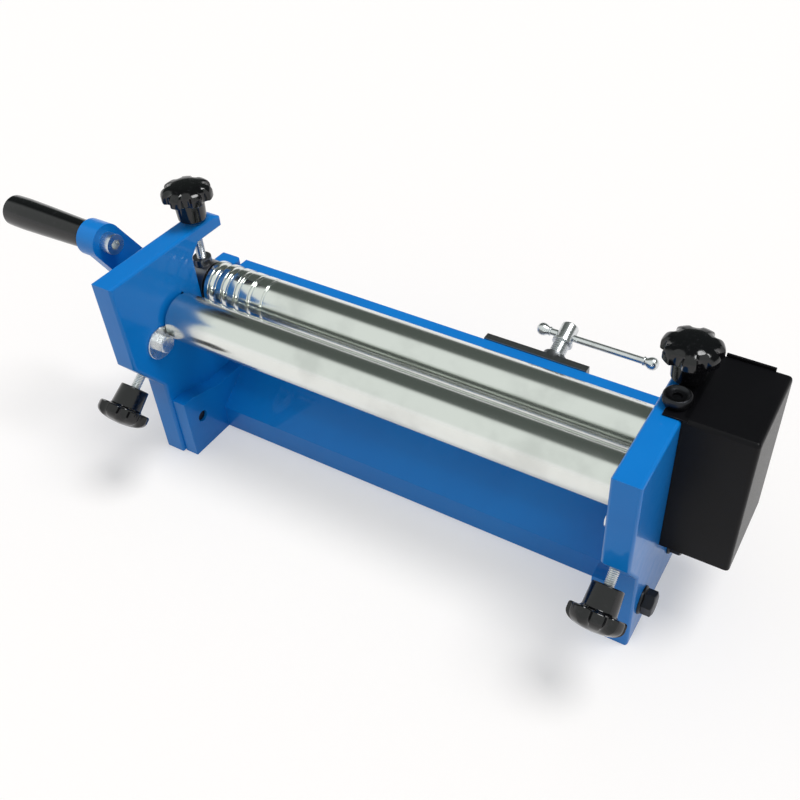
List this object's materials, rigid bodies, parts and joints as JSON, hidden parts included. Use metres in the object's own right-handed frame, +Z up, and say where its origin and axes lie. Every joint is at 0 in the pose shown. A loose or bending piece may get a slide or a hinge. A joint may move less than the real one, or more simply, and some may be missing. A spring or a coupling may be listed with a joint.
{
  "type": "slip roll machine",
  "caption": "Bench slip roll for sheet metal: geared pinch rolls with wire grooves, adjustable bending roll, hand crank, star knobs, gear cover and rear clamp.",
  "frame": {"origin": "on the bench under the middle of the base, on the underside of its centre rib, midway between the side frames", "axes": "+X along the rolls from the crank to the gear cover, -Y towards the bending roll, +Z up"},
  "size_m": [0.4873, 0.1717, 0.1775],
  "materials": {
    "frame_paint": "satin bright blue paint on cast iron",
    "crank_paint": "satin blue paint",
    "roll_steel": "ground and polished steel",
    "gear_steel": "machined steel, lightly oiled",
    "block_steel": "dark machined steel",
    "screw_steel": "bright zinc",
    "bush_bronze": "turned bronze",
    "black_bolts": "black oxide",
    "black_sheet": "satin black powder coat",
    "black_plastic": "glossy moulded plastic",
    "plate_steel": "plain steel plate"
  },
  "bodies": {
    "frame": {"left_frame": "frame_paint", "right_frame": "frame_paint", "base": "frame_paint", "rear_rail": "frame_paint", "lower_bushes": "bush_bronze", "frame_bolts": "black_bolts", "rail_bolts": "screw_steel", "gear_cover": "black_sheet", "cover_screws": "black_bolts", "clamp_plate": "plate_steel", "clamp_bolts": "screw_steel"},
    "crank": {"lower_roll": "roll_steel", "lower_gear": "gear_steel", "lower_gear_key": "gear_steel", "lower_end_washer": "screw_steel", "lower_end_screw": "screw_steel", "crank_arm": "crank_paint", "crank_grub_screw": "black_bolts", "grip_bolt": "screw_steel"},
    "grip": {"crank_grip": "black_plastic"},
    "upper_carriage": {"upper_block_left": "block_steel", "upper_block_right": "block_steel", "upper_bushes": "bush_bronze"},
    "upper_roll": {"upper_roll": "roll_steel", "upper_gear": "gear_steel", "upper_gear_key": "gear_steel", "upper_end_washer": "screw_steel", "upper_end_screw": "screw_steel"},
    "lift_adjuster_left": {"lift_screw_left": "screw_steel", "lift_knob_left": "black_plastic"},
    "lift_adjuster_right": {"lift_screw_right": "screw_steel", "lift_knob_right": "black_plastic"},
    "bend_carriage": {"bend_block_left": "block_steel", "bend_block_right": "block_steel", "bend_bushes": "bush_bronze", "keeper_washers": "screw_steel", "keeper_bolts": "screw_steel"},
    "bending_roll": {"bending_roll": "roll_steel"},
    "bend_adjuster_left": {"bend_screw_left": "screw_steel", "bend_knob_left": "black_plastic"},
    "bend_adjuster_right": {"bend_screw_right": "screw_steel", "bend_knob_right": "black_plastic"},
    "clamp_tip": {"clamp_tip": "bush_bronze"},
    "clamp_screw": {"clamp_screw": "screw_steel"},
    "tommy_bar": {"tommy_bar": "screw_steel", "tommy_bar_ends": "screw_steel"}
  },
  "joints": [
    {"name": "crank_turn", "type": "hinge", "parent": "frame", "child": "crank", "pos_m": [0, 0.02, 0.0716], "axis": [1, 0, 0], "continuous": true},
    {"name": "grip_turn", "type": "hinge", "parent": "crank", "child": "grip", "pos_m": [-0.245, -0.0245, 0.14868], "axis": [1, 0, 0], "continuous": true},
    {"name": "pinch_lift", "type": "slide", "parent": "frame", "child": "upper_carriage", "axis": [0, 0, 1], "range_m": [0, 0.003]},
    {"name": "upper_roll_turn", "type": "hinge", "parent": "upper_carriage", "child": "upper_roll", "pos_m": [0, 0.02, 0.103], "axis": [1, 0, 0], "continuous": true},
    {"name": "lift_knob_left_turn", "type": "hinge", "parent": "upper_carriage", "child": "lift_adjuster_left", "pos_m": [-0.163, 0.02, 0.158], "axis": [0, 0, 1], "range_deg": [-1, 1081]},
    {"name": "lift_knob_right_turn", "type": "hinge", "parent": "upper_carriage", "child": "lift_adjuster_right", "pos_m": [0.163, 0.02, 0.158], "axis": [0, 0, 1], "range_deg": [-1, 1081]},
    {"name": "bend_slide", "type": "slide", "parent": "frame", "child": "bend_carriage", "axis": [0, 0.8192, 0.5736], "range_m": [-0.004, 0.006]},
    {"name": "bending_roll_turn", "type": "hinge", "parent": "bend_carriage", "child": "bending_roll", "pos_m": [0, -0.017, 0.101], "axis": [1, 0, 0], "continuous": true},
    {"name": "bend_knob_left_turn", "type": "hinge", "parent": "bend_carriage", "child": "bend_adjuster_left", "pos_m": [-0.1611, -0.017, 0.101], "axis": [0, 0.8192, 0.5736], "range_deg": [-1441, 2161]},
    {"name": "bend_knob_right_turn", "type": "hinge", "parent": "bend_carriage", "child": "bend_adjuster_right", "pos_m": [0.1611, -0.017, 0.101], "axis": [0, 0.8192, 0.5736], "range_deg": [-1441, 2161]},
    {"name": "clamp_travel", "type": "slide", "parent": "frame", "child": "clamp_tip", "axis": [0, 0.9397, 0.342], "range_m": [-0.003, 0.0045]},
    {"name": "clamp_screw_turn", "type": "hinge", "parent": "clamp_tip", "child": "clamp_screw", "pos_m": [0.075, 0.051, 0.101], "axis": [0, 0.9397, 0.342], "range_deg": [-721, 1081]},
    {"name": "tommy_bar_slide", "type": "slide", "parent": "clamp_screw", "child": "tommy_bar", "axis": [1, 0, 0], "range_m": [-0.0453, 0.0053]}
  ],
  "couplings": [
    {"joint": "upper_roll_turn", "follows": "crank_turn", "ratio": -1},
    {"joint": "lift_knob_left_turn", "follows": "pinch_lift", "rad_per_m": 6283.2},
    {"joint": "lift_knob_right_turn", "follows": "pinch_lift", "rad_per_m": 6283.2},
    {"joint": "bend_knob_left_turn", "follows": "bend_slide", "rad_per_m": 6283.2},
    {"joint": "bend_knob_right_turn", "follows": "bend_slide", "rad_per_m": 6283.2},
    {"joint": "clamp_screw_turn", "follows": "clamp_travel", "rad_per_m": 4188.8}
  ]
}
